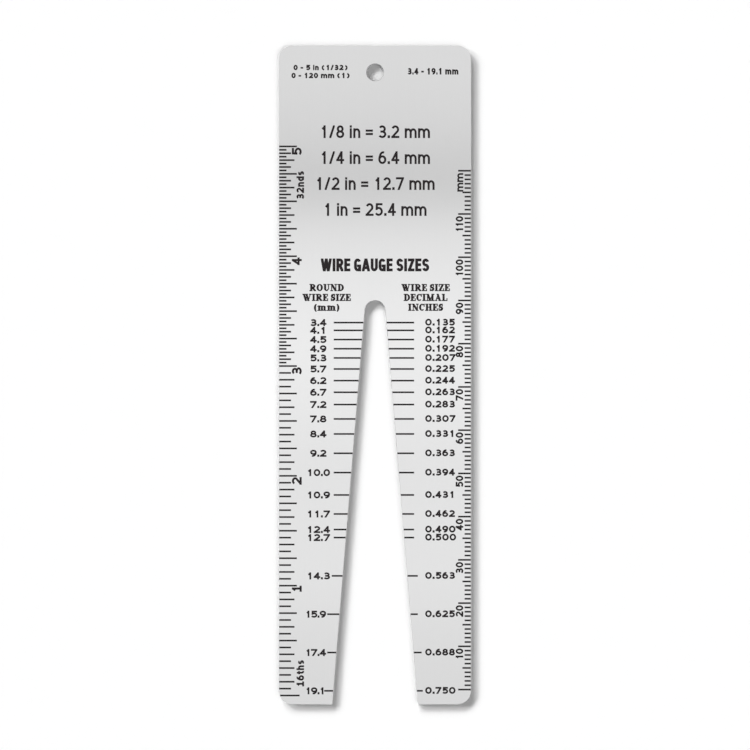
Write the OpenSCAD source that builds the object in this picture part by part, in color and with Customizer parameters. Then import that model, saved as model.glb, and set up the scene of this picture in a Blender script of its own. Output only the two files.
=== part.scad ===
// Wire gauge plate: one flat piece of stainless sheet with a tapered slot for measuring round wire.
// A wire is pushed up the slot until it touches both sides, and the line beside it gives its diameter.
// An inch scale runs up the left edge and a millimetre scale up the right edge.
// The plate lies on its back: X runs across it, Y along it from the foot to the head,
// and Z out of the marked face. The origin is under the middle of the plate.

/* [Plate] */
// Width across the two scales
plate_w = 44.45; // [40:0.05:60]
// Length from the foot to the head
plate_l = 152.4; // [140:0.1:180]
// Thickness of the sheet
plate_t = 0.76; // [0.5:0.01:2]
// Radius of the four outer corners
corner_r = 3.175; // [1:0.025:6]
// Width of the edge break that deburring leaves along every edge of both faces
edge_break = 0.1; // [0.05:0.01:0.2]

/* [Hanging hole] */
// Diameter of the hole
hole_d = 3.97; // [2:0.01:6]
// Distance from the head to the middle of the hole
hole_inset = 6.15; // [4:0.05:12]

/* [Tapered slot] */
// Width of the slot at the foot
slot_mouth = 19.8; // [14:0.05:22]
// Diameter of the round root
slot_root_d = 4.76; // [3:0.01:7]
// Depth from the foot to the end of the root
slot_depth = 93.45; // [80:0.05:110]

/* [Etching] */
// Depth of every etched line
etch_depth = 0.05; // [0.02:0.01:0.1]
// Width of a line on the two scales
scale_line = 0.34; // [0.15:0.01:0.4]
// Width of a gauge line beside the slot
gauge_line = 0.34; // [0.15:0.01:0.4]

/* [Inch scale] */
// Height of its zero above the foot
inch_zero = 2.07; // [1:0.01:10]
// Length of the scale in inches
inch_count = 5; // [1:1:5]
// Inch from which every thirty-second is marked, and below it every sixteenth
inch_fine_from = 3; // [0:1:5]
// Length of the zero line
inch_zero_mark = 4.8; // [3:0.05:6]
// Length of a line at a whole, half or quarter inch
quarter_mark = 4.15; // [3:0.05:6]
// Length of a line at an eighth
eighth_mark = 3.6; // [2:0.05:5]
// Length of a line at a sixteenth
sixteenth_mark = 2.8; // [1:0.05:4]
// Length of a line at a thirty-second
thirtysecond_mark = 1.75; // [1:0.05:3]
// Quarter line, counted in thirty-seconds, that is as short as an eighth to leave room for the scale's word
inch_word_step = 8; // [8:8:152]

/* [Millimetre scale] */
// Height of its zero above the foot
mm_zero = 3.44; // [1:0.01:10]
// Length of the scale in millimetres
mm_count = 120; // [10:1:120]
// Length of a line at every tenth millimetre
ten_mark = 3; // [2:0.05:5]
// Length of a line at every fifth millimetre
five_mark = 2; // [1:0.05:4]
// Length of a line at every other millimetre
one_mark = 1.5; // [0.5:0.05:3]

/* [Gauge lines] */
// Height of the largest size's line above the foot
gauge_foot = 3.15; // [1:0.05:10]
// Least distance from a line down from the middle of the root
gauge_root_gap = 2.75; // [1:0.05:6]
// Least distance between two lines, so that their numbers don't run together
gauge_least_pitch = 1.86; // [1:0.01:3]
// Distance from the centre line to the common outer end on the left
gauge_left_end = 9.55; // [6:0.05:14]
// Distance from the centre line to the common outer end on the right
gauge_right_end = 9.05; // [6:0.05:14]
// The same for the last four lines on the left, which step out with the slot
gauge_left_steps = [10, 11.05, 11.05, 11.75]; // [9:0.05:14]
// The same for the last four lines on the right
gauge_right_steps = [9.9, 9.9, 10.8, 11.05]; // [9:0.05:14]
// Least length of a line
gauge_least = 1.2; // [1:0.05:4]

/* [Hidden] */
$fn = 128;
inch = 25.4;
steps_per_inch = 32;
// How far a cut runs out into the air
past = 1;

// The wire sizes in inches: the steel wire gauge from number 10 to 7/0, then sixteenths up to 3/4
gauge_sizes = [
    0.135, 0.162, 0.177, 0.192, 0.207, 0.225, 0.244, 0.263, 0.283, 0.3065, 0.331,
    0.3625, 0.394, 0.4305, 0.4615, 0.490, 0.500, 0.5625, 0.625, 0.6875, 0.750
];
largest_size = max(gauge_sizes) * inch;

foot_y = -plate_l / 2;
hole_y = plate_l / 2 - hole_inset;

// The sides of the slot are tangent to its root, and lean out by the taper angle
root_r = slot_root_d / 2;
root_height = slot_depth - root_r;
root_to_mouth = sqrt(root_height ^ 2 + (slot_mouth / 2) ^ 2);
taper = atan2(slot_mouth / 2, root_height) - asin(root_r / root_to_mouth);

// A round wire that is larger by 1 stops lower by this much, where its upper edge lies
gauge_pitch = (1 / sin(taper) - 1) / 2;

// Half the width of the slot at a height above the foot
function slot_half(height) = slot_mouth / 2 - height * tan(taper);

// Height above the foot of a size's line: where the wire's upper edge lies, or higher to clear the line
// below it, but never closer to the root than the gap there
function gauge_height(place) =
    let (stop = gauge_foot + (largest_size - gauge_sizes[place] * inch) * gauge_pitch)
    place == len(gauge_sizes) - 1 ? stop
    : min(max(stop, gauge_height(place + 1) + gauge_least_pitch), root_height - gauge_root_gap);

// Distance from the centre line to a gauge line's outer end: the common end, or one of the last steps
function gauge_end(place, common, steps) =
    let (step = place - len(gauge_sizes) + len(steps))
    step < 0 ? common : steps[step];

// Length of the inch scale's line at a number of thirty-seconds
function inch_mark(step) =
    step == 0 ? inch_zero_mark
    : step % 8 == 0 && step != inch_word_step ? quarter_mark
    : step % 4 == 0 ? eighth_mark
    : step % 2 == 0 ? sixteenth_mark
    : thirtysecond_mark;

// Length of the millimetre scale's line at a number of millimetres
function mm_mark(step) = step % 10 == 0 ? ten_mark : step % 5 == 0 ? five_mark : one_mark;

// Section of the sheet from inside it to a broken edge
function sheet_section(reach) = [
    [0, 0],
    [reach - edge_break, 0],
    [reach, edge_break],
    [reach, plate_t - edge_break],
    [reach - edge_break, plate_t],
    [0, plate_t]
];

// Section of a cut through the sheet, which flares at both faces to break the cut's edges
function cut_section(reach) = [
    [0, -past],
    [reach + edge_break + past, -past],
    [reach, edge_break],
    [reach, plate_t - edge_break],
    [reach + edge_break + past, plate_t + past],
    [0, plate_t + past]
];

// A shape and its mirror image across the centre line
module both_sides() {
    children();
    mirror([1, 0, 0]) children();
}

// A strip of sheet along Y with broken long edges
module strip(width, length) {
    rotate([90, 0, 0])
        linear_extrude(length, center = true)
            both_sides()
                polygon(sheet_section(width / 2));
}

// The whole sheet before anything is cut out of it: two crossed strips and four quarter-round corners
module blank() {
    strip(plate_w, plate_l - 2 * corner_r);
    rotate(90) strip(plate_l, plate_w - 2 * corner_r);
    for (end = [0, 1])
        mirror([0, end, 0])
            both_sides()
                translate([plate_w / 2 - corner_r, plate_l / 2 - corner_r, 0])
                    rotate_extrude(angle = 90)
                        polygon(sheet_section(corner_r));
}

// The cut of the hanging hole
module hanging_hole() {
    translate([0, hole_y, 0])
        rotate_extrude()
            polygon(cut_section(hole_d / 2));
}

// The cut of the tapered slot, drawn from the middle of its root: on each side a quarter turn of the root
// and the leaning side that starts where it ends, then the wedge between the two sides
module tapered_slot() {
    side = slot_depth / cos(taper);
    inner = root_r / 2;
    translate([0, foot_y + root_height, 0]) {
        both_sides()
            rotate(taper) {
                rotate_extrude(angle = 90)
                    polygon(cut_section(root_r));
                rotate([90, 0, 0])
                    linear_extrude(side)
                        polygon(cut_section(root_r));
            }
        translate([0, 0, -past])
            linear_extrude(plate_t + 2 * past)
                polygon([
                    [-inner, 0],
                    [inner, 0],
                    [slot_mouth / 2 - inner, -root_height - past],
                    [inner - slot_mouth / 2, -root_height - past]
                ]);
    }
}

// An etched line across the marked face, from one X to another, at a height above the foot
module etched_line(from_x, to_x, height, width) {
    translate([from_x, foot_y + height - width / 2, plate_t - etch_depth])
        cube([to_x - from_x, width, etch_depth + past]);
}

// The inch scale, whose lines run in from the left edge
module inch_scale() {
    for (step = [0 : inch_count * steps_per_inch])
        if (step % 2 == 0 || step >= inch_fine_from * steps_per_inch)
            etched_line(
                -plate_w / 2 - past,
                inch_mark(step) - plate_w / 2,
                inch_zero + step * inch / steps_per_inch,
                scale_line
            );
}

// The millimetre scale, whose lines run in from the right edge
module mm_scale() {
    for (step = [0 : mm_count])
        etched_line(plate_w / 2 - mm_mark(step), plate_w / 2 + past, mm_zero + step, scale_line);
}

// The gauge lines, which run out from the sides of the slot
module gauge_lines() {
    for (place = [0 : len(gauge_sizes) - 1]) {
        height = gauge_height(place);
        side = slot_half(height);
        left = max(gauge_end(place, gauge_left_end, gauge_left_steps), side + gauge_least);
        right = max(gauge_end(place, gauge_right_end, gauge_right_steps), side + gauge_least);
        etched_line(-left, gauge_line - side, height, gauge_line);
        etched_line(side - gauge_line, right, height, gauge_line);
    }
}

// The gauge plate: the sheet with its hole and slot cut through it and its lines etched into it
module gauge_plate() {
    color("silver")
        difference() {
            blank();
            hanging_hole();
            tapered_slot();
            inch_scale();
            mm_scale();
            gauge_lines();
        }
}

gauge_plate();
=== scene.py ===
# %% [markdown]
# # A wire gauge plate
# The real object is one flat piece of stainless sheet. Its outline, slot and hole are stamped out, and its
# lines and numbers are etched into one face and filled with black enamel. The loaded solid already has the
# sheet, the slot, the hole and the etched lines, and all of it is the right shape. So this lesson keeps that
# solid, gives it a brushed finish, pours enamel into its lines and writes the numbers beside them.

import math
from collections import namedtuple

import bmesh
import bpy
from mathutils import Matrix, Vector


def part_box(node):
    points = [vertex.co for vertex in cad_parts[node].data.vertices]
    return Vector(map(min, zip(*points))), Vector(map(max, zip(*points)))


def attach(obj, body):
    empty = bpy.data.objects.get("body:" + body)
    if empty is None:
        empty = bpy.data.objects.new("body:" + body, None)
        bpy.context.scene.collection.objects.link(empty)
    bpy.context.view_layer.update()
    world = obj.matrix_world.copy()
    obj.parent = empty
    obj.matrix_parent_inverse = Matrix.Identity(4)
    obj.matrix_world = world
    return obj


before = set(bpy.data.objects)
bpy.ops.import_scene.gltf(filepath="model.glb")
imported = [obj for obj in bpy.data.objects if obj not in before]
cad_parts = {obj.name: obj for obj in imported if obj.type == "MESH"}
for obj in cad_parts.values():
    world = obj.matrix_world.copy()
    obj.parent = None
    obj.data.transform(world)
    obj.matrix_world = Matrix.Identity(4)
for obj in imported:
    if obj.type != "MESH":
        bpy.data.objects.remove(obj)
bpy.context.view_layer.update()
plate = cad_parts["gauge_plate"]
scene = bpy.context.scene
scene.view_settings.view_transform = "Standard"
print("Loaded the plate with", len(plate.data.polygons), "triangles")

# %% [markdown]
# ## Measures
# The lettering of such a plate is laid out in millimetres from its foot, where the slot opens. The box of the
# solid gives the outline. The few other sizes are those of the plate's own drawing, so that every bar of
# enamel lands in its etched line. Heights are measured up from the foot and X from the centre line.

# %% Read the outline from the frame
MM = 0.001
low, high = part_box("gauge_plate")
half_width = high.x / MM
foot = low.y / MM
thickness = high.z / MM
print(f"Plate: {2 * half_width:.2f} mm wide, {-2 * foot:.2f} mm long, {thickness:.2f} mm thick")

# %% Repeat the sizes of the slot and the etching
corner_radius = 3.175
slot_mouth = 19.8
slot_root = 4.76 / 2
slot_depth = 93.45
root_height = slot_depth - slot_root
etch_depth = 0.05
scale_line = 0.34
gauge_line = 0.34
mouth_half = slot_mouth / 2
taper = math.atan2(mouth_half, root_height) - math.asin(slot_root / math.hypot(root_height, mouth_half))


def slot_half(height):
    """Half the width of the slot at a height above the foot."""
    return mouth_half - height * math.tan(taper)


def edge_inset(height):
    """How far the rounded corner stands in from the plate's side at a height above the foot."""
    below = max(0.0, corner_radius - height)
    return corner_radius - math.sqrt(corner_radius ** 2 - below ** 2)


print(f"Each side of the slot leans out by {math.degrees(taper):.3f} degrees")

# %% [markdown]
# ## A shared grain
# Brushing leaves long fine scratches, and enamel that was wiped into an etched line keeps a faint mottle.
# Both are noise that is stretched by a different amount each way. An image would do, but noise on the
# object's own coordinates stays sharp at every distance and needs no unwrapping. The two finishes share one
# node group, which takes the number of grains per metre along each axis and puts out a tone from 0 to 1.

# %% Build the grain group
grain = bpy.data.node_groups.new("stretched_grain", "ShaderNodeTree")
grain.interface.new_socket("Grains", in_out="INPUT", socket_type="NodeSocketVector")
grain.interface.new_socket("Contrast", in_out="INPUT", socket_type="NodeSocketFloat")
grain.interface.new_socket("Tone", in_out="OUTPUT", socket_type="NodeSocketFloat")
group_in = grain.nodes.new("NodeGroupInput")
group_out = grain.nodes.new("NodeGroupOutput")
place = grain.nodes.new("ShaderNodeTexCoord")
stretch = grain.nodes.new("ShaderNodeVectorMath")
stretch.operation = "MULTIPLY"
noise = grain.nodes.new("ShaderNodeTexNoise")
noise.inputs["Scale"].default_value = 1.0
noise.inputs["Detail"].default_value = 3.0
noise.inputs["Roughness"].default_value = 0.6
centred = grain.nodes.new("ShaderNodeMath")
centred.operation = "SUBTRACT"
centred.inputs[1].default_value = 0.5
spread = grain.nodes.new("ShaderNodeMath")
spread.operation = "MULTIPLY_ADD"
spread.use_clamp = True
spread.inputs[2].default_value = 0.5
grain.links.new(place.outputs["Object"], stretch.inputs[0])
grain.links.new(group_in.outputs["Grains"], stretch.inputs[1])
grain.links.new(stretch.outputs["Vector"], noise.inputs["Vector"])
grain.links.new(noise.outputs["Fac"], centred.inputs[0])
grain.links.new(centred.outputs["Value"], spread.inputs[0])
grain.links.new(group_in.outputs["Contrast"], spread.inputs[1])
grain.links.new(spread.outputs["Value"], group_out.inputs["Tone"])
print("The grain group has", len(grain.nodes), "nodes")


# %% Place the grain in a material
def add_grain(material, grains_per_mm, contrast):
    """Place the grain group in a material and return its tone."""
    node = material.node_tree.nodes.new("ShaderNodeGroup")
    node.node_tree = grain
    node.inputs["Grains"].default_value = [count / MM for count in grains_per_mm]
    node.inputs["Contrast"].default_value = contrast
    return node.outputs["Tone"]


def add_range(material, tone, lowest, highest):
    """Turn a tone from 0 to 1 into a number between two others."""
    node = material.node_tree.nodes.new("ShaderNodeMapRange")
    node.inputs["To Min"].default_value = lowest
    node.inputs["To Max"].default_value = highest
    material.node_tree.links.new(tone, node.inputs["Value"])
    return node.outputs["Result"]


def add_mix(material, tone, dark, light):
    """Blend two colours, or two colour sockets, by a tone."""
    node = material.node_tree.nodes.new("ShaderNodeMix")
    node.data_type = "RGBA"
    for end, colour in ((node.inputs["A"], dark), (node.inputs["B"], light)):
        if isinstance(colour, bpy.types.NodeSocket):
            material.node_tree.links.new(colour, end)
        else:
            end.default_value = (*colour, 1)
    material.node_tree.links.new(tone, node.inputs["Factor"])
    return node.outputs["Result"]


print("Three helpers join a grain to a material")

# %% [markdown]
# ## Brushed stainless
# The sheet is brushed along its length. The scratches are far finer than a pixel, so from a step away they
# show as a sheen that is drawn out across the grain, which is what the shader's anisotropy does. Its tangent
# runs across the plate. Close up, the grain group adds single scratches to colour, roughness and bump. The
# stamped edges have no brushing, so a mask from the surface normal makes them duller. Their dark colour is
# partly that real dullness and partly painted shade, which keeps the shadow on the table beside them deep.

# %% Make the brushed stainless
stainless = bpy.data.materials.new("brushed_stainless")
stainless.use_nodes = True
steel_nodes = stainless.node_tree.nodes
steel_links = stainless.node_tree.links
steel = steel_nodes["Principled BSDF"]
steel.inputs["Metallic"].default_value = 1.0
steel.inputs["Anisotropic"].default_value = 0.8
tangent = steel_nodes.new("ShaderNodeTangent")
tangent.direction_type = "RADIAL"
tangent.axis = "Y"
steel_links.new(tangent.outputs["Tangent"], steel.inputs["Tangent"])
print("Brushed stainless has an anisotropy of", round(steel.inputs["Anisotropic"].default_value, 2))

# %% Draw the scratches
scratch_grains = (9.0, 0.12, 9.0)
streak_grains = (0.9, 0.02, 0.9)
brushed_contrast = 1.6
scratches = add_grain(stainless, scratch_grains, brushed_contrast)
streaks = add_grain(stainless, streak_grains, brushed_contrast)
scratched = add_mix(stainless, scratches, (0.76, 0.76, 0.762), (0.80, 0.80, 0.80))
streaked = add_mix(stainless, streaks, (0.775, 0.775, 0.777), (0.785, 0.785, 0.785))
face_colour = steel_nodes.new("ShaderNodeMix")
face_colour.data_type = "RGBA"
steel_links.new(scratched, face_colour.inputs["A"])
steel_links.new(streaked, face_colour.inputs["B"])
scratch_bump = steel_nodes.new("ShaderNodeBump")
scratch_bump.inputs["Strength"].default_value = 0.06
scratch_bump.inputs["Distance"].default_value = 0.00002
steel_links.new(scratches, scratch_bump.inputs["Height"])
steel_links.new(scratch_bump.outputs["Normal"], steel.inputs["Normal"])
print("Scratches run along the plate,", scratch_grains[0], "to the millimetre")

# %% Dull the stamped edges, partly with painted shade
surface = steel_nodes.new("ShaderNodeNewGeometry")
facing = steel_nodes.new("ShaderNodeSeparateXYZ")
steel_links.new(surface.outputs["True Normal"], facing.inputs["Vector"])
level = steel_nodes.new("ShaderNodeMath")
level.operation = "ABSOLUTE"
steel_links.new(facing.outputs["Z"], level.inputs[0])
stamped = steel_nodes.new("ShaderNodeMath")
stamped.operation = "SUBTRACT"
stamped.inputs[0].default_value = 1.0
stamped.use_clamp = True
steel_links.new(level.outputs["Value"], stamped.inputs[1])
edge_grains = (6.0, 6.0, 1.2)
edge_contrast = 2.0
edge_mottle = add_grain(stainless, edge_grains, edge_contrast)
# The dark edge colour is partly a sheared edge's real dullness and partly painted shade: the walls throw less
# light onto the table, so the shadow beside them stays deep.
dull_and_shaded_edge_colour = add_mix(stainless, edge_mottle, (0.38, 0.38, 0.384), (0.52, 0.52, 0.52))
steel_colour = add_mix(stainless, stamped.outputs["Value"], face_colour.outputs["Result"], dull_and_shaded_edge_colour)
steel_links.new(steel_colour, steel.inputs["Base Color"])
face_roughness = add_range(stainless, scratches, 0.27, 0.33)
edge_roughness = steel_nodes.new("ShaderNodeMath")
edge_roughness.operation = "MULTIPLY_ADD"
edge_roughness.inputs[1].default_value = 0.12
steel_links.new(stamped.outputs["Value"], edge_roughness.inputs[0])
steel_links.new(face_roughness, edge_roughness.inputs[2])
steel_links.new(edge_roughness.outputs["Value"], steel.inputs["Roughness"])
plate.data.materials.clear()
plate.data.materials.append(stainless)
print("The plate wears", plate.data.materials[0].name)

# %% [markdown]
# ## Black enamel
# The fill is a stoving enamel: nearly black, a little warm, and satin rather than glossy. Its shine is low,
# so it stays dark under a bright ceiling, and its mottle is only just there.

# %% Make the black enamel
enamel = bpy.data.materials.new("black_enamel")
enamel.use_nodes = True
enamel_shader = enamel.node_tree.nodes["Principled BSDF"]
enamel_shader.inputs["Specular IOR Level"].default_value = 0.12
enamel_grains = (14.0, 14.0, 14.0)
enamel_contrast = 1.8
mottle = add_grain(enamel, enamel_grains, enamel_contrast)
enamel_colour = add_mix(enamel, mottle, (0.013, 0.011, 0.0115), (0.021, 0.017, 0.0185))
enamel.node_tree.links.new(enamel_colour, enamel_shader.inputs["Base Color"])
enamel.node_tree.links.new(add_range(enamel, mottle, 0.5, 0.7), enamel_shader.inputs["Roughness"])
enamel_bump = enamel.node_tree.nodes.new("ShaderNodeBump")
enamel_bump.inputs["Strength"].default_value = 0.1
enamel_bump.inputs["Distance"].default_value = 0.00001
enamel.node_tree.links.new(mottle, enamel_bump.inputs["Height"])
enamel.node_tree.links.new(enamel_bump.outputs["Normal"], enamel_shader.inputs["Normal"])
print("Black enamel is ready")

# %% [markdown]
# ## Filling the etched lines
# Each etched line is a shallow trough with a flat floor. The enamel in it is a thin bar that stands on the
# floor, brims over the face by a hair and runs out a little on both sides. It stops short of the deburred
# edge. A cube operator with a matrix makes one bar, and a loop over the scale makes the rest.

# %% Pour one line and finish a piece
fill_brim = 0.006
fill_run = 0.025
fill_end_gap = 0.06


def pour_line(bm, from_x, to_x, height, width):
    """Fill one etched line from one X to another, at a height above the foot."""
    depth = etch_depth + fill_brim
    size = (to_x - from_x, width + 2 * fill_run, depth)
    middle = ((from_x + to_x) / 2, foot + height, thickness - etch_depth + depth / 2)
    shape = Matrix.Translation(middle) @ Matrix.Diagonal((*size, 1))
    bmesh.ops.create_cube(bm, size=1, matrix=Matrix.Scale(MM, 4) @ shape)


def finish_enamel(name, bm):
    """Turn a bmesh into a piece of enamel that rides on the plate."""
    mesh = bpy.data.meshes.new(name)
    bm.to_mesh(mesh)
    bm.free()
    mesh.materials.append(enamel)
    piece = bpy.data.objects.new(name, mesh)
    scene.collection.objects.link(piece)
    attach(piece, "root")
    print(f"{name}: {len(mesh.polygons)} faces")


# %% Fill the inch scale
inch = 25.4
inch_zero = 2.07
inch_count = 5
inch_fine_from = 3
steps_per_inch = 32
inch_word_step = 8
inch_zero_mark = 4.8
quarter_mark = 4.15
eighth_mark = 3.6
sixteenth_mark = 2.8
thirtysecond_mark = 1.75


def inch_mark(step):
    """Length of the inch scale's line at a number of thirty-seconds."""
    if step == 0:
        return inch_zero_mark
    if step % 8 == 0 and step != inch_word_step:
        return quarter_mark
    if step % 4 == 0:
        return eighth_mark
    return sixteenth_mark if step % 2 == 0 else thirtysecond_mark


bm = bmesh.new()
for step in range(inch_count * steps_per_inch + 1):
    if step % 2 == 0 or step >= inch_fine_from * steps_per_inch:
        height = inch_zero + step * inch / steps_per_inch
        outer = edge_inset(height) + fill_end_gap - half_width
        pour_line(bm, outer, inch_mark(step) - half_width, height, scale_line)
finish_enamel("inch_scale", bm)

# %% Fill the millimetre scale
mm_zero = 3.44
mm_count = 120
ten_mark = 3.0
five_mark = 2.0
one_mark = 1.5


def mm_mark(step):
    """Length of the millimetre scale's line at a number of millimetres."""
    if step % 10 == 0:
        return ten_mark
    return five_mark if step % 5 == 0 else one_mark


bm = bmesh.new()
for step in range(mm_count + 1):
    height = mm_zero + step
    pour_line(bm, half_width - mm_mark(step), half_width - fill_end_gap, height, scale_line)
finish_enamel("millimetre_scale", bm)

# %% [markdown]
# ## The gauge lines
# A round wire slides up the slot until it touches both sides, and the line beside it gives its size. In a
# taper with this lean, a wire that is larger by one millimetre stops lower by a fixed amount, so the spacing
# of the lines follows from the list of sizes. Where two sizes are very close, the upper line is moved up a
# little to leave room for its number, and no line comes nearer to the root than the gap there.

# %% Find the height of each gauge line
wire_sizes = [
    0.135, 0.162, 0.177, 0.192, 0.207, 0.225, 0.244, 0.263, 0.283, 0.3065, 0.331,
    0.3625, 0.394, 0.4305, 0.4615, 0.490, 0.500, 0.5625, 0.625, 0.6875, 0.750
]
gauge_pitch = (1 / math.sin(taper) - 1) / 2
lowest_gauge = 3.15
gauge_root_gap = 2.75
highest_gauge = root_height - gauge_root_gap
least_pitch = 1.86
gauge_heights = {}
height = lowest_gauge - least_pitch
for size in reversed(wire_sizes):
    stop = lowest_gauge + (wire_sizes[-1] - size) * inch * gauge_pitch
    height = min(max(stop, height + least_pitch), highest_gauge)
    gauge_heights[size] = height
print(f"The gauge lines lie from {lowest_gauge:.2f} to {height:.2f} mm above the foot")

# %% Pour the gauge lines
left_end = 9.55
right_end = 9.05
left_steps = dict(zip(wire_sizes[-4:], (10, 11.05, 11.05, 11.75)))
right_steps = dict(zip(wire_sizes[-4:], (9.9, 9.9, 10.8, 11.05)))
bm = bmesh.new()
for size, height in gauge_heights.items():
    side = slot_half(height) + fill_end_gap
    pour_line(bm, -left_steps.get(size, left_end), -side, height, gauge_line)
    pour_line(bm, side, right_steps.get(size, right_end), height, gauge_line)
finish_enamel("gauge_lines", bm)

# %% [markdown]
# ## Lettering with a pen
# The numbers on an instrument come from an engraver's stencil: every figure is a few strokes of one round
# pen. A font would give other shapes, so each figure is drawn here as its strokes, in a box that runs from
# 0 to 1 across and up. A stroke is a straight line, part of an oval or a ring. Its points also hold a
# weight, so that a bolder hand can have thick stems and thin serifs.

# %% Draw the kinds of stroke
Stroke = namedtuple("Stroke", "points closed square")
bow_step = 12


def line(*points, weight=1.0, square=(True, True)):
    """A straight or bent stroke through some points. A square end runs past its last point."""
    return Stroke([(u, v, weight) for u, v in points], False, square)


def bow(centre, reach, start, end, thin=1.0):
    """Part of an oval from one angle to another, in degrees, thinner where it runs level."""
    steps = max(3, round(abs(end - start) / bow_step))
    points = []
    for step in range(steps + 1):
        angle = math.radians(start + (end - start) * step / steps)
        weight = thin + (1 - thin) * abs(math.cos(angle))
        u = centre[0] + reach[0] * math.cos(angle)
        v = centre[1] + reach[1] * math.sin(angle)
        points.append((u, v, weight))
    return Stroke(points, False, (False, False))


def ring(centre, reach, thin=1.0):
    """A whole oval."""
    return Stroke(bow(centre, reach, 0, 360 - bow_step, thin).points, True, (False, False))


def chain(*strokes):
    """Several strokes drawn without lifting the pen."""
    points = [point for stroke in strokes for point in stroke.points]
    return Stroke(points, False, (strokes[0].square[0], strokes[-1].square[1]))


print("A pen can draw lines, bows, rings and chains of them")

# %% Draw the figures
Figure = namedtuple("Figure", "width strokes")
figures = {
    "0": Figure(1, [ring((0.5, 0.5), (0.5, 0.5))]),
    "1": Figure(1, [line((0.6, 0), (0.6, 1)), line((0.52, 0.92), (0.34, 0.81))]),
    "2": Figure(1, [
        chain(bow((0.5, 0.71), (0.47, 0.29), 160, -32), line((0, 0), square=(False, False))),
        line((0, 0), (1, 0)),
    ]),
    "3": Figure(1, [
        bow((0.48, 0.755), (0.43, 0.245), 152, -90),
        bow((0.48, 0.255), (0.52, 0.255), 90, -152),
        line((0.36, 0.51), (0.5, 0.51)),
    ]),
    "4": Figure(1, [
        line((0.66, 0.97), (0.02, 0.27), square=(True, False)),
        line((0, 0.27), (1, 0.27)),
        line((0.72, 0), (0.72, 1)),
    ]),
    "5": Figure(1, [
        line((0.16, 1), (0.94, 1)),
        line((0.16, 1), (0.12, 0.56)),
        bow((0.46, 0.325), (0.54, 0.325), 132, -148),
    ]),
    "6": Figure(1, [ring((0.5, 0.31), (0.5, 0.31)), bow((0.62, 0.31), (0.62, 0.69), 180, 72)]),
    "7": Figure(1, [line((0, 1), (1, 1)), line((0.98, 0.97), (0.32, 0), square=(False, True))]),
    "8": Figure(1, [ring((0.5, 0.76), (0.4, 0.24)), ring((0.5, 0.26), (0.5, 0.26))]),
    "9": Figure(1, [ring((0.5, 0.69), (0.5, 0.31)), bow((0.38, 0.69), (0.62, 0.69), 0, -108)]),
    ".": Figure(0.3, [line((0.35, 0), (0.35, 0.02), weight=1.2)]),
    "/": Figure(0.7, [line((0, 0), (1, 1))]),
    "=": Figure(0.9, [line((0, 0.28), (1, 0.28)), line((0, 0.6), (1, 0.6))]),
    "-": Figure(0.6, [line((0, 0.42), (1, 0.42))]),
    "(": Figure(0.8, [bow((2.2, 0.45), (2.2, 0.72), 128, 232)]),
    ")": Figure(0.8, [bow((-1.2, 0.45), (2.2, 0.72), 52, -52)]),
    " ": Figure(0.35, []),
}
print("Drawn by hand:", " ".join(figures))

# %% [markdown]
# ## Letters for the short words
# The scales also name their units. The small letters reach about seven tenths of a figure's height, and each
# is a stem with an arch, a ring or two bows, so a letter such as m is an n with one more arch.

# %% Draw the small letters
x_height = 0.72
arch_foot = 0.42


def arch(left, right):
    """An arch from a stem over to the next stem and down to the base line."""
    middle = (left + right) / 2
    rise = x_height - arch_foot
    return chain(bow((middle, arch_foot), (right - middle, rise), 180, 0), line((right, 0)))


small_letters = {
    "d": Figure(0.9, [ring((0.46, 0.36), (0.46, 0.36)), line((1, 0), (1, 1))]),
    "h": Figure(0.88, [line((0, 0), (0, 1)), arch(0, 1)]),
    "i": Figure(0.3, [line((0.5, 0), (0.5, x_height)), line((0.5, 0.98), (0.5, 1))]),
    "m": Figure(1.5, [line((0, 0), (0, x_height)), arch(0, 0.5), arch(0.5, 1)]),
    "n": Figure(0.88, [line((0, 0), (0, x_height)), arch(0, 1)]),
    "s": Figure(0.8, [chain(
        bow((0.5, 0.545), (0.44, 0.175), 30, 270),
        bow((0.5, 0.185), (0.48, 0.185), 90, -150),
    )]),
    "t": Figure(0.62, [
        chain(line((0.42, 0.95)), bow((1, 0.26), (0.58, 0.26), 180, 240), line((1, 0))),
        line((0, x_height), (0.95, x_height)),
    ]),
}
plain_figures = {**figures, **small_letters}
footed_one = Figure(1, [*figures["1"].strokes, line((0.12, 0), (1, 0))])
print("Small letters:", " ".join(small_letters))

# %% [markdown]
# ## From strokes to a mesh
# A curve with a round bevel is the quickest way to give a stroke its width, and its points take the weight as
# a radius. The curve is made a mesh at once and pressed flat, so each figure becomes a low bead of enamel. A
# hand of lettering holds what is the same for all its figures, so the same strokes serve a wide light hand
# and a narrow bold one, with the pen's width kept true in both.

# %% Lay the strokes of a figure
Hand = namedtuple("Hand", "cap width pen gap figures")
bead_height = 0.02


def pen_point(point, figure, hand):
    """Where a point of a figure's box lies in millimetres, with the pen kept inside the figure."""
    u, v, weight = point
    pen = hand.pen * weight
    across = pen / 2 + u * (figure.width * hand.width - pen)
    up = pen / 2 + v * (hand.cap - pen)
    return across, up, weight


def leaves_box(near, far):
    """Whether a stroke runs out of the figure's box at its near end."""
    sideways = abs(near[0] - far[0]) > abs(near[1] - far[1])
    return not 0 < (near[0] if sideways else near[1]) < 1


def square_ends(points, stroke, pen):
    """Lengthen the square ends of a stroke by half a pen, or by a whole one where it runs out of the box."""
    ends = []
    for near, far, square in ((0, 1, stroke.square[0]), (-1, -2, stroke.square[1])):
        x, y, weight = points[near]
        step_x = x - points[far][0]
        step_y = y - points[far][1]
        reach = pen * weight if leaves_box(stroke.points[near], stroke.points[far]) else pen * weight / 2
        share = reach / math.hypot(step_x, step_y) if square else 0
        ends.append((x + step_x * share, y + step_y * share, weight))
    return [ends[0], *points[1:-1], ends[1]]


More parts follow.
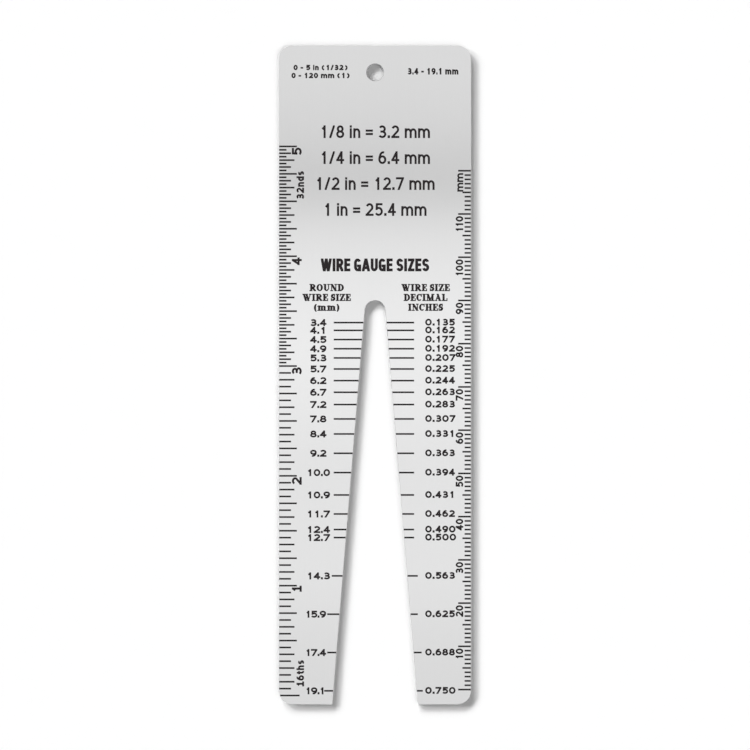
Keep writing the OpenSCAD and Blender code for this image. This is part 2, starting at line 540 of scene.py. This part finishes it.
def lay_strokes(figure, hand):
    """The mesh of a figure's strokes in one hand, in millimetres, as flat beads that cross each other."""
    curve = bpy.data.curves.new("pen_strokes", "CURVE")
    curve.dimensions = "3D"
    curve.twist_mode = "Z_UP"
    curve.bevel_depth = hand.pen / 2
    curve.bevel_resolution = 1
    curve.use_fill_caps = True
    for stroke in figure.strokes:
        points = [pen_point(point, figure, hand) for point in stroke.points]
        if not stroke.closed:
            points = square_ends(points, stroke, hand.pen)
        spline = curve.splines.new("POLY")
        spline.points.add(len(points) - 1)
        spline.use_cyclic_u = stroke.closed
        for spot, (x, y, weight) in zip(spline.points, points):
            spot.co = (x, y, 0, 1)
            spot.radius = weight
    drawn = bpy.data.objects.new("pen_strokes", curve)
    mesh = bpy.data.meshes.new_from_object(drawn)
    mesh.transform(Matrix.Diagonal((1, 1, 2 * bead_height / hand.pen, 1)))
    bpy.data.objects.remove(drawn)
    bpy.data.curves.remove(curve)
    return mesh


print("Strokes become flat beads", bead_height, "mm high")

# %% [markdown]
# ## One surface for each figure
# Beads that cross would leave faces inside each other, and tops in one plane show black where they overlap.
# The boolean modifier can unite a mesh with itself, which leaves one closed surface. What runs out of the
# figure's box is then cut off level, as an engraver's slanted strokes are. Each figure is made once and kept.

# %% Unite and trim a figure
pressed = {}
cut_tolerance = 1e-5


def unite_strokes(mesh):
    """A copy of a mesh in which all its crossing strokes are one closed surface."""
    body = bpy.data.objects.new("figure", mesh)
    scene.collection.objects.link(body)
    union = body.modifiers.new("unite", "BOOLEAN")
    union.operation = "UNION"
    union.operand_type = "COLLECTION"
    union.solver = "EXACT"
    union.use_self = True
    seen = body.evaluated_get(bpy.context.evaluated_depsgraph_get())
    united = bpy.data.meshes.new_from_object(seen)
    bpy.data.objects.remove(body)
    return united


def trim_figure(bm, width, cap):
    """Cut off what runs out of a figure's box and close the cuts."""
    start = (0, 0, 0)
    end = (width, cap, 0)
    for corner, outward in ((start, (-1, 0, 0)), (end, (1, 0, 0)), (start, (0, -1, 0)), (end, (0, 1, 0))):
        bmesh.ops.bisect_plane(
            bm,
            geom=[*bm.verts, *bm.edges, *bm.faces],
            dist=cut_tolerance,
            plane_co=corner,
            plane_no=outward,
            clear_outer=True,
        )
        rim = [edge for edge in bm.edges if edge.is_boundary]
        bmesh.ops.holes_fill(bm, edges=rim)
    loose = [edge for edge in bm.edges if not edge.link_faces]
    bmesh.ops.delete(bm, geom=loose, context="EDGES")


def press_figure(letter, hand):
    """The mesh of one figure in one hand, in millimetres."""
    figure = hand.figures[letter]
    width = figure.width * hand.width
    key = (letter, width, hand.cap, hand.pen)
    if key not in pressed:
        mesh = unite_strokes(lay_strokes(figure, hand))
        bm = bmesh.new()
        bm.from_mesh(mesh)
        if letter not in "()":
            trim_figure(bm, width, hand.cap)
        for face in bm.faces:
            face.smooth = False
        bm.to_mesh(mesh)
        bm.free()
        pressed[key] = mesh
    return pressed[key]


print("Figures are pressed when a word first needs them")


# %% Write a word
def word_length(word, hand):
    """Length of a word in millimetres."""
    widths = [hand.figures[letter].width * hand.width for letter in word]
    return sum(widths) + hand.gap * (len(word) - 1)


def write(bm, word, hand, x, height, align=0.0, upright=True):
    """Write a word from a point on its base line, at its start, middle or end for an align of 0, 0.5 or 1."""
    turn = Matrix.Identity(4) if upright else Matrix.Rotation(math.radians(90), 4, "Z")
    base = Matrix.Scale(MM, 4) @ Matrix.Translation((x, foot + height, thickness)) @ turn
    along = -align * word_length(word, hand)
    for letter in word:
        made = len(bm.verts)
        bm.from_mesh(press_figure(letter, hand))
        bm.verts.ensure_lookup_table()
        where = base @ Matrix.Translation((along, 0, 0))
        bmesh.ops.transform(bm, matrix=where, verts=bm.verts[made:])
        along += hand.figures[letter].width * hand.width + hand.gap


print("Words are written from a point on their base line")

# %% [markdown]
# ## The wire sizes
# The size of each wire stands level with its line, in millimetres on the left and in inches on the right. The
# hand is wide and light. On the left the words are centred, but the three largest sizes are set close and
# start at a common place, to stay clear of the slot. On the right all words start at a common place.

# %% Write the wire sizes in millimetres
left_hand = Hand(cap=1.63, width=1.52, pen=0.41, gap=0.14, figures=figures)
narrow_one = Figure(0.8, figures["1"].strokes)
tight_hand = Hand(cap=1.63, width=1.48, pen=0.41, gap=0.05, figures={**figures, "1": narrow_one})
left_middle = -13.12
tight_start = -16.05
widest_sizes = wire_sizes[-3:]
cut_short = {0.6875: "17.4"}
round_half_up = 0.0001
bm = bmesh.new()
for size, height in gauge_heights.items():
    word = cut_short.get(size, f"{size * inch + round_half_up:.1f}")
    base = height - left_hand.cap / 2
    if size in widest_sizes:
        write(bm, word, tight_hand, tight_start, base)
    else:
        write(bm, word, left_hand, left_middle, base, align=0.5)
finish_enamel("wire_sizes_in_millimetres", bm)

# %% Write the wire sizes in inches
wide_zero = Figure(1.1, figures["0"].strokes)
wide_dot = Figure(0.36, figures["."].strokes)
right_figures = {**figures, "0": wide_zero, ".": wide_dot}
right_hand = Hand(cap=1.6, width=1.38, pen=0.41, gap=0.18, figures=right_figures)
right_start = 11.61
right_lift = 0.1
bm = bmesh.new()
for size, height in gauge_heights.items():
    word = f"{size + round_half_up:.3f}"
    write(bm, word, right_hand, right_start, height + right_lift - right_hand.cap / 2)
finish_enamel("wire_sizes_in_inches", bm)

# %% [markdown]
# ## The numbers of the two scales
# They are turned to read from the foot to the head. Each ends just below its own line, but the one of the
# inch scale is level with it. The inch numbers are bold, because an inch is read from further away. The unit
# of each scale is written in its corner.

# %% Write the numbers of the inch scale
inch_one = Figure(0.86, footed_one.strokes)
inch_hand = Hand(cap=2.28, width=1.78, pen=0.5, gap=0.2, figures={**figures, "1": inch_one})
inch_base = -16.95
inch_gap = 0.28
bm = bmesh.new()
for number in range(1, inch_count + 1):
    gap = 0 if number == 1 else inch_gap
    write(bm, str(number), inch_hand, inch_base, inch_zero + number * inch - gap, align=1.0, upright=False)
finish_enamel("inch_numbers", bm)

# %% Write the units of the inch scale
unit_figures = {**plain_figures, "1": footed_one}
unit_hand = Hand(cap=1.75, width=1.25, pen=0.43, gap=0.2, figures=unit_figures)
unit_base = -16.41
fine_unit_end = 123.36
coarse_unit_end = 10.25
bm = bmesh.new()
write(bm, "32nds", unit_hand, unit_base, fine_unit_end, align=1.0, upright=False)
write(bm, "16ths", unit_hand, unit_base, coarse_unit_end, align=1.0, upright=False)
finish_enamel("inch_units", bm)

# %% Write the numbers of the millimetre scale
wide_m = Figure(1.62, small_letters["m"].strokes)
mm_figures = {**plain_figures, "1": narrow_one, "m": wide_m}
mm_hand = Hand(cap=1.75, width=1.28, pen=0.405, gap=0.14, figures=mm_figures)
mm_base = 20.41
mm_gap = 0.49
mm_unit_gap = 0.55
bm = bmesh.new()
for number in range(10, mm_count, 10):
    write(bm, str(number), mm_hand, mm_base, mm_zero + number - mm_gap, align=1.0, upright=False)
write(bm, "mm", mm_hand, mm_base, mm_zero + mm_count - mm_unit_gap, align=1.0, upright=False)
finish_enamel("millimetre_numbers", bm)

# %% [markdown]
# ## The title
# A heavy narrow hand heads the table. Its capitals are the same kind of strokes with a pen as wide as a third
# of a letter. Where strokes meet at a corner they are drawn apart, because a bent tube gets thin at its bend.
# Leaning strokes meet just outside the letter's box, so that trimming leaves an apex with a level end.

# %% Draw the title's capitals
over = 1.14
under = -0.14
title_letters = {
    "A": Figure(1.12, [line((0, 0), (0.5, over)), line((0.5, over), (1, 0)), line((0.2, 0.22), (0.8, 0.22))]),
    "E": Figure(0.86, [
        line((0, 0), (0, 1)),
        line((0, 0), (1, 0)),
        line((0, 0.52), (0.9, 0.52)),
        line((0, 1), (1, 1)),
    ]),
    "G": Figure(1, [
        chain(bow((0.5, 0.7), (0.5, 0.3), 25, 180), bow((0.5, 0.3), (0.5, 0.3), 180, 330)),
        line((1, 0), (1, 0.4)),
        line((0.7, 0.4), (1, 0.4)),
    ]),
    "I": Figure(0.43, [line((0.5, 0), (0.5, 1))]),
    "R": Figure(1, [
        line((0, 0), (0, 1)),
        chain(line((0, 1)), bow((0.55, 0.75), (0.42, 0.25), 90, -90), line((0, 0.5))),
        line((0.5, 0.48), (0.98, 0)),
    ]),
    "S": Figure(0.98, [chain(
        bow((0.5, 0.745), (0.48, 0.255), 15, 270),
        bow((0.5, 0.245), (0.5, 0.245), 90, -165),
    )]),
    "U": Figure(1, [chain(line((0, 1)), bow((0.5, 0.3), (0.5, 0.3), 180, 360), line((1, 1)))]),
    "W": Figure(1.52, [
        line((0, 1), (0.26, under)),
        line((0.26, under), (0.5, over)),
        line((0.5, over), (0.74, under)),
        line((0.74, under), (1, 1)),
    ]),
    "Z": Figure(0.92, [line((0, 1), (1, 1)), line((1, 1), (0, 0)), line((0, 0), (1, 0))]),
    " ": Figure(0.3, []),
}
print("Title letters:", " ".join(title_letters))

# %% Write the title
title_hand = Hand(cap=2.98, width=1.66, pen=0.66, gap=0.17, figures=title_letters)
title_base = 100.17
bm = bmesh.new()
write(bm, "WIRE GAUGE SIZES", title_hand, 0, title_base, align=0.5)
finish_enamel("title", bm)

# %% [markdown]
# ## The heads of the two columns
# These are small bold capitals with serifs: thick stems, thin level strokes and a thin bar at the end of each
# stem. The weight of a stroke's points makes the contrast, and bows thin out by themselves where they turn.

# %% Draw the capitals with serifs
THIN = 0.48


def serif(left, right, height):
    """A thin level bar."""
    return line((left, height), (right, height), weight=THIN)


def hairline(u, bottom, top):
    """A thin upright stroke."""
    return line((u, bottom), (u, top), weight=THIN)


def stem(u, bottom=0, top=1):
    """A thick upright stroke."""
    return line((u, bottom), (u, top))


serif_letters = {
    "C": Figure(0.95, [bow((0.52, 0.5), (0.52, 0.5), 48, 312, THIN), hairline(0.96, 0.66, 1)]),
    "D": Figure(1.05, [
        stem(0.18), serif(0, 0.5, 0), serif(0, 0.5, 1), bow((0.42, 0.5), (0.58, 0.5), 90, -90, THIN)
    ]),
    "E": Figure(0.9, [
        stem(0.18), serif(0, 0.98, 0), serif(0, 0.94, 1), serif(0.18, 0.66, 0.52),
        hairline(0.98, 0, 0.27), hairline(0.94, 0.73, 1), hairline(0.66, 0.38, 0.66),
    ]),
    "H": Figure(1.15, [
        stem(0.16), stem(0.84), serif(0, 0.38, 0), serif(0, 0.38, 1), serif(0.62, 1, 0), serif(0.62, 1, 1),
        serif(0.16, 0.84, 0.52),
    ]),
    "I": Figure(0.56, [stem(0.5), serif(0, 1, 0), serif(0, 1, 1)]),
    "N": Figure(1.12, [
        hairline(0.15, 0, 1), hairline(0.86, 0, 1), line((0.17, 1), (0.84, 0)),
        serif(0, 0.32, 0), serif(0, 0.2, 1), serif(0.7, 1, 1),
    ]),
    "O": Figure(1.05, [ring((0.5, 0.5), (0.5, 0.5), THIN)]),
    "R": Figure(1.1, [
        stem(0.17), serif(0, 0.36, 0), serif(0, 0.5, 1), serif(0.17, 0.5, 0.5),
        bow((0.48, 0.76), (0.36, 0.24), 90, -90, THIN), line((0.5, 0.46), (0.88, 0)), serif(0.78, 1, 0),
    ]),
    "S": Figure(0.78, [
        chain(bow((0.5, 0.75), (0.42, 0.25), 40, 270, 0.8), bow((0.5, 0.25), (0.48, 0.25), 90, -140, 0.8)),
        hairline(0.9, 0.7, 1), hairline(0.05, 0, 0.3),
    ]),
    "U": Figure(1.1, [
        chain(
            line((0.18, 1)), bow((0.5, 0.32), (0.32, 0.32), 180, 285, THIN), line((0.84, 0.3), weight=THIN)
        ),
        hairline(0.84, 0.3, 1), serif(0, 0.38, 1), serif(0.7, 1, 1),
    ]),
    "W": Figure(1.5, [
        line((0.1, 1), (0.32, 0)), line((0.32, 0), (0.5, 0.9), weight=THIN), line((0.46, 1), (0.68, 0)),
        line((0.68, 0), (0.9, 1), weight=THIN), serif(0, 0.22, 1), serif(0.36, 0.56, 1), serif(0.8, 1, 1),
    ]),
    "m": Figure(1.5, [
        stem(0.12, 0, 0.66), stem(0.5, 0, 0.5), stem(0.88, 0, 0.5), serif(0, 0.12, 0.66),
        bow((0.31, 0.48), (0.19, 0.2), 160, 0, THIN), bow((0.69, 0.48), (0.19, 0.2), 160, 0, THIN),
        serif(0, 0.26, 0), serif(0.38, 0.62, 0), serif(0.76, 1, 0),
    ]),
    "A": Figure(1.1, [
        line((0.5, 1), (0.14, 0), weight=THIN), line((0.46, 1), (0.84, 0)), serif(0.24, 0.7, 0.32),
        serif(0, 0.28, 0), serif(0.64, 1, 0),
    ]),
    "L": Figure(0.95, [stem(0.2), serif(0, 0.42, 1), serif(0, 0.98, 0), hairline(0.98, 0, 0.3)]),
    "M": Figure(1.35, [
        hairline(0.12, 0, 1), stem(0.86), line((0.14, 1), (0.46, 0)), line((0.46, 0), (0.82, 1), weight=THIN),
        serif(0, 0.26, 0), serif(0, 0.16, 1), serif(0.72, 1, 0), serif(0.84, 1, 1),
    ]),
    "Z": Figure(0.92, [
        serif(0.05, 0.97, 1), serif(0, 1, 0), line((0.88, 1), (0.12, 0)),
        hairline(0.05, 0.72, 1), hairline(1, 0, 0.3),
    ]),
    "(": Figure(0.5, [bow((2.4, 0.4), (2.4, 0.76), 126, 234, -0.1)]),
    ")": Figure(0.5, [bow((-1.4, 0.4), (2.4, 0.76), 54, -54, -0.1)]),
    " ": Figure(0.3, []),
}
print("Letters with serifs:", " ".join(serif_letters))

# %% Write the heads of the columns
head_hand = Hand(cap=1.67, width=1.42, pen=0.5, gap=0.07, figures=serif_letters)
head_base = 95.59
head_pitch = 2.28
column_heads = {-11.18: ("ROUND", "WIRE SIZE", "(mm)"), 11.71: ("WIRE SIZE", "DECIMAL", "INCHES")}
bm = bmesh.new()
for middle, words in column_heads.items():
    for row, word in enumerate(words):
        write(bm, word, head_hand, middle, head_base - row * head_pitch, align=0.5)
finish_enamel("column_heads", bm)

# %% [markdown]
# ## Plain numbers at the head
# The head of such a plate has room for a few lines. Here it holds four plain conversions, in the same hand as
# the scales but larger. Beside the hanging hole stand the reach of the two rulers, with the step of each in
# brackets, and the reach of the slot.

# %% Write the conversions
table_hand = Hand(cap=2.95, width=1.85, pen=0.5, gap=0.3, figures=plain_figures)
table_base = 131.0
table_pitch = 6.0
conversions = ("1/8 in = 3.2 mm", "1/4 in = 6.4 mm", "1/2 in = 12.7 mm", "1 in = 25.4 mm")
bm = bmesh.new()
for row, words in enumerate(conversions):
    write(bm, words, table_hand, 0, table_base - row * table_pitch, align=0.5)
finish_enamel("conversions", bm)

# %% Write the reach of the rulers and of the slot
ruler_hand = Hand(cap=1.24, width=0.98, pen=0.36, gap=0.16, figures=plain_figures)
slot_hand = Hand(cap=1.5, width=0.96, pen=0.38, gap=0.16, figures=plain_figures)
ruler_middle = -12.6
ruler_bases = (146.7, 144.85)
reach_middle = 13.4
reach_base = 145.7
bm = bmesh.new()
for words, base in zip(("0 - 5 in (1/32)", "0 - 120 mm (1)"), ruler_bases):
    write(bm, words, ruler_hand, ruler_middle, base, align=0.5)
write(bm, "3.4 - 19.1 mm", slot_hand, reach_middle, reach_base, align=0.5)
finish_enamel("ranges", bm)

# %% [markdown]
# ## Floor
# The plate lies on a plain white table. The floor stays a little lower than the back face, so that the two
# surfaces never share a plane. A trace of its own light lifts it to pure white for the camera.

# %% Lay the floor
floor_half = 1.0
floor_gap = 0.00002
bm = bmesh.new()
bmesh.ops.create_grid(bm, x_segments=1, y_segments=1, size=floor_half)
bmesh.ops.translate(bm, vec=(0, 0, low.z - floor_gap), verts=bm.verts)
floor_mesh = bpy.data.meshes.new("floor")
bm.to_mesh(floor_mesh)
bm.free()
floor = bpy.data.objects.new("floor", floor_mesh)
scene.collection.objects.link(floor)
white = bpy.data.materials.new("white_table")
white.use_nodes = True
white_shader = white.node_tree.nodes["Principled BSDF"]
white_shader.inputs["Base Color"].default_value = (0.95, 0.95, 0.95, 1)
white_shader.inputs["Emission Color"].default_value = (1, 1, 1, 1)
white_shader.inputs["Roughness"].default_value = 0.8
white_shader.inputs["Specular IOR Level"].default_value = 0.0
floor_mesh.materials.append(white)
print("The floor reaches", floor_half, "m each way")

# %% Keep the table white for the camera
table_glow = 0.03
white_links = white.node_tree.links
table_ray = white.node_tree.nodes.new("ShaderNodeLightPath")
lift = white.node_tree.nodes.new("ShaderNodeMath")
lift.operation = "MULTIPLY"
lift.inputs[1].default_value = table_glow
white_links.new(table_ray.outputs["Is Camera Ray"], lift.inputs[0])
white_links.new(lift.outputs["Value"], white_shader.inputs["Emission Strength"])
print("The table glows a little for the camera")

# %% [markdown]
# ## Camera
# The photograph looks straight down on the plate. The plate's length spans a known number of pixels, so the
# width of the whole frame follows, and the distance follows from that and the lens.

# %% Place the camera
frame_pixels = 750
plate_pixels = 658.9
frame_width = (high.y - low.y) * frame_pixels / plate_pixels
camera_data = bpy.data.cameras.new("camera")
camera_data.lens = 85
camera = bpy.data.objects.new("camera", camera_data)
scene.collection.objects.link(camera)
distance = frame_width / 2 / math.tan(camera_data.angle / 2)
camera.location = (0, 0, high.z + distance)
scene.camera = camera
print(f"The camera looks down from {distance:.3f} m")

# %% [markdown]
# ## Light
# Three key lamps stand low in an arc at the upper left, so the thin plate still throws a shadow to the right
# and the foot. Each lamp throws it a little differently, which makes the shadow fade from the edge on and
# rounds off its corners. Two fill lamps stand on the other side and give the lit edges a faint shadow too.
# The metal mirrors none of the lamps, which would put a glare on the face and on the table. The rest is the
# white of the room: white where the camera or a reflection sees it, and dimmer where it lights the table,
# because otherwise the shadow would be washed out.


# %% Hang the lamps
def hang_lamp(name, height, turn, energy, spread):
    """A far lamp at some degrees above the table, turned to one side and so many degrees wide."""
    light = bpy.data.lights.new(name, "SUN")
    light.energy = energy
    light.angle = math.radians(spread)
    lamp = bpy.data.objects.new(name, light)
    lamp.rotation_euler = (0, math.radians(height - 90), math.radians(turn))
    lamp.visible_glossy = False
    scene.collection.objects.link(lamp)
    print(f"The {name} lamp stands {height} degrees above the table")


key_height = 17.5
key_spread = 11
side_key_energy = 2.22
fill_height = 38
fill_spread = 32
fill_energy = 0.62
hang_lamp("middle key", key_height, -45, 3.2, key_spread)
hang_lamp("left key", key_height, -20, side_key_energy, key_spread)
hang_lamp("head key", key_height, -70, side_key_energy, key_spread)
hang_lamp("right fill", fill_height, 156, fill_energy, fill_spread)
hang_lamp("foot fill", fill_height, 114, fill_energy, fill_spread)


# %% Tell first sight from scattered light
def add_first_sight(tree):
    """A mask that is 1 for light that the table hasn't scattered on its way to the camera."""
    path = tree.nodes.new("ShaderNodeLightPath")
    first = tree.nodes.new("ShaderNodeMath")
    first.operation = "LESS_THAN"
    first.inputs[1].default_value = 0.5
    tree.links.new(path.outputs["Diffuse Depth"], first.inputs[0])
    return first.outputs["Value"]


print("The room and the card can tell first sight from scattered light")

# %% Set the room's white
room_light = 0.05
room = bpy.data.worlds.new("room")
scene.world = room
room.use_nodes = True
room_nodes = room.node_tree.nodes
room_links = room.node_tree.links
ray = room_nodes.new("ShaderNodeLightPath")
seen = room_nodes.new("ShaderNodeMath")
seen.operation = "MAXIMUM"
room_links.new(ray.outputs["Is Camera Ray"], seen.inputs[0])
room_links.new(ray.outputs["Is Glossy Ray"], seen.inputs[1])
seen_through = room_nodes.new("ShaderNodeMath")
seen_through.operation = "MAXIMUM"
room_links.new(seen.outputs["Value"], seen_through.inputs[0])
room_links.new(ray.outputs["Is Transmission Ray"], seen_through.inputs[1])
seen_first = room_nodes.new("ShaderNodeMath")
seen_first.operation = "MULTIPLY"
room_links.new(seen_through.outputs["Value"], seen_first.inputs[0])
room_links.new(add_first_sight(room.node_tree), seen_first.inputs[1])
strength = room_nodes.new("ShaderNodeMapRange")
strength.inputs["To Min"].default_value = room_light
strength.inputs["To Max"].default_value = 1.0
room_links.new(seen_first.outputs["Value"], strength.inputs["Value"])
room_links.new(strength.outputs["Result"], room_nodes["Background"].inputs["Strength"])
room_nodes["Background"].inputs["Color"].default_value = (1, 1, 1, 1)
print("The room lights the table at", room_light)

# %% [markdown]
# ## A graduated card for the metal to reflect
# Bare metal shows what is above it. A photographer hangs a large card over it, lit unevenly, so the steel
# gets slow light and dark bands along its length instead of one dead tone. The card is seen by reflections
# only. It lights nothing and hides nothing.

# %% Hang the card
card_height = 0.08
card_half = 0.2
card_reach = 0.2
bm = bmesh.new()
bmesh.ops.create_grid(bm, x_segments=1, y_segments=1, size=card_half)
bmesh.ops.translate(bm, vec=(0, 0, card_height), verts=bm.verts)
card_mesh = bpy.data.meshes.new("card")
bm.to_mesh(card_mesh)
bm.free()
card = bpy.data.objects.new("card", card_mesh)
scene.collection.objects.link(card)
card.visible_camera = False
card.visible_diffuse = False
card.visible_shadow = False
paint = bpy.data.materials.new("graduated_card")
paint.use_nodes = True
paint.node_tree.nodes.clear()
card_place = paint.node_tree.nodes.new("ShaderNodeTexCoord")
card_axes = paint.node_tree.nodes.new("ShaderNodeSeparateXYZ")
card_along = paint.node_tree.nodes.new("ShaderNodeMapRange")
card_along.inputs["From Min"].default_value = -card_reach / 2
card_along.inputs["From Max"].default_value = card_reach / 2
card_tone = paint.node_tree.nodes.new("ShaderNodeValToRGB")
card_light = paint.node_tree.nodes.new("ShaderNodeEmission")
card_out = paint.node_tree.nodes.new("ShaderNodeOutputMaterial")
paint.node_tree.links.new(card_place.outputs["Object"], card_axes.inputs["Vector"])
paint.node_tree.links.new(card_axes.outputs["Y"], card_along.inputs["Value"])
paint.node_tree.links.new(card_along.outputs["Result"], card_tone.inputs["Fac"])
paint.node_tree.links.new(card_tone.outputs["Color"], card_light.inputs["Color"])
paint.node_tree.links.new(card_light.outputs["Emission"], card_out.inputs["Surface"])
card_mesh.materials.append(paint)
print("The card hangs", card_height, "m above the table")

# %% Shade the card from the foot to the head
card_bands = [
    (-76, 0.885), (-60, 0.925), (-48, 1.005), (-20, 0.99), (-6, 1.07), (8, 1.11),
    (24, 1.04), (35, 0.97), (42, 0.715), (47, 0.715), (56, 0.85), (70, 0.91)
]
card_spread = 1 + card_height / distance
card_strength = 1.15
card_level = paint.node_tree.nodes.new("ShaderNodeMapRange")
card_level.inputs["To Min"].default_value = room_light
card_level.inputs["To Max"].default_value = card_strength
paint.node_tree.links.new(add_first_sight(paint.node_tree), card_level.inputs["Value"])
paint.node_tree.links.new(card_level.outputs["Result"], card_light.inputs["Strength"])
stops = card_tone.color_ramp.elements
while len(stops) < len(card_bands):
    stops.new(1.0)
for stop, (plate_place, tone) in zip(stops, card_bands):
    stop.position = 0.5 + plate_place * MM * card_spread / card_reach
    stop.color = (tone / card_strength, tone / card_strength, tone / card_strength, 1)
print("The card has", len(card_bands), "tones")
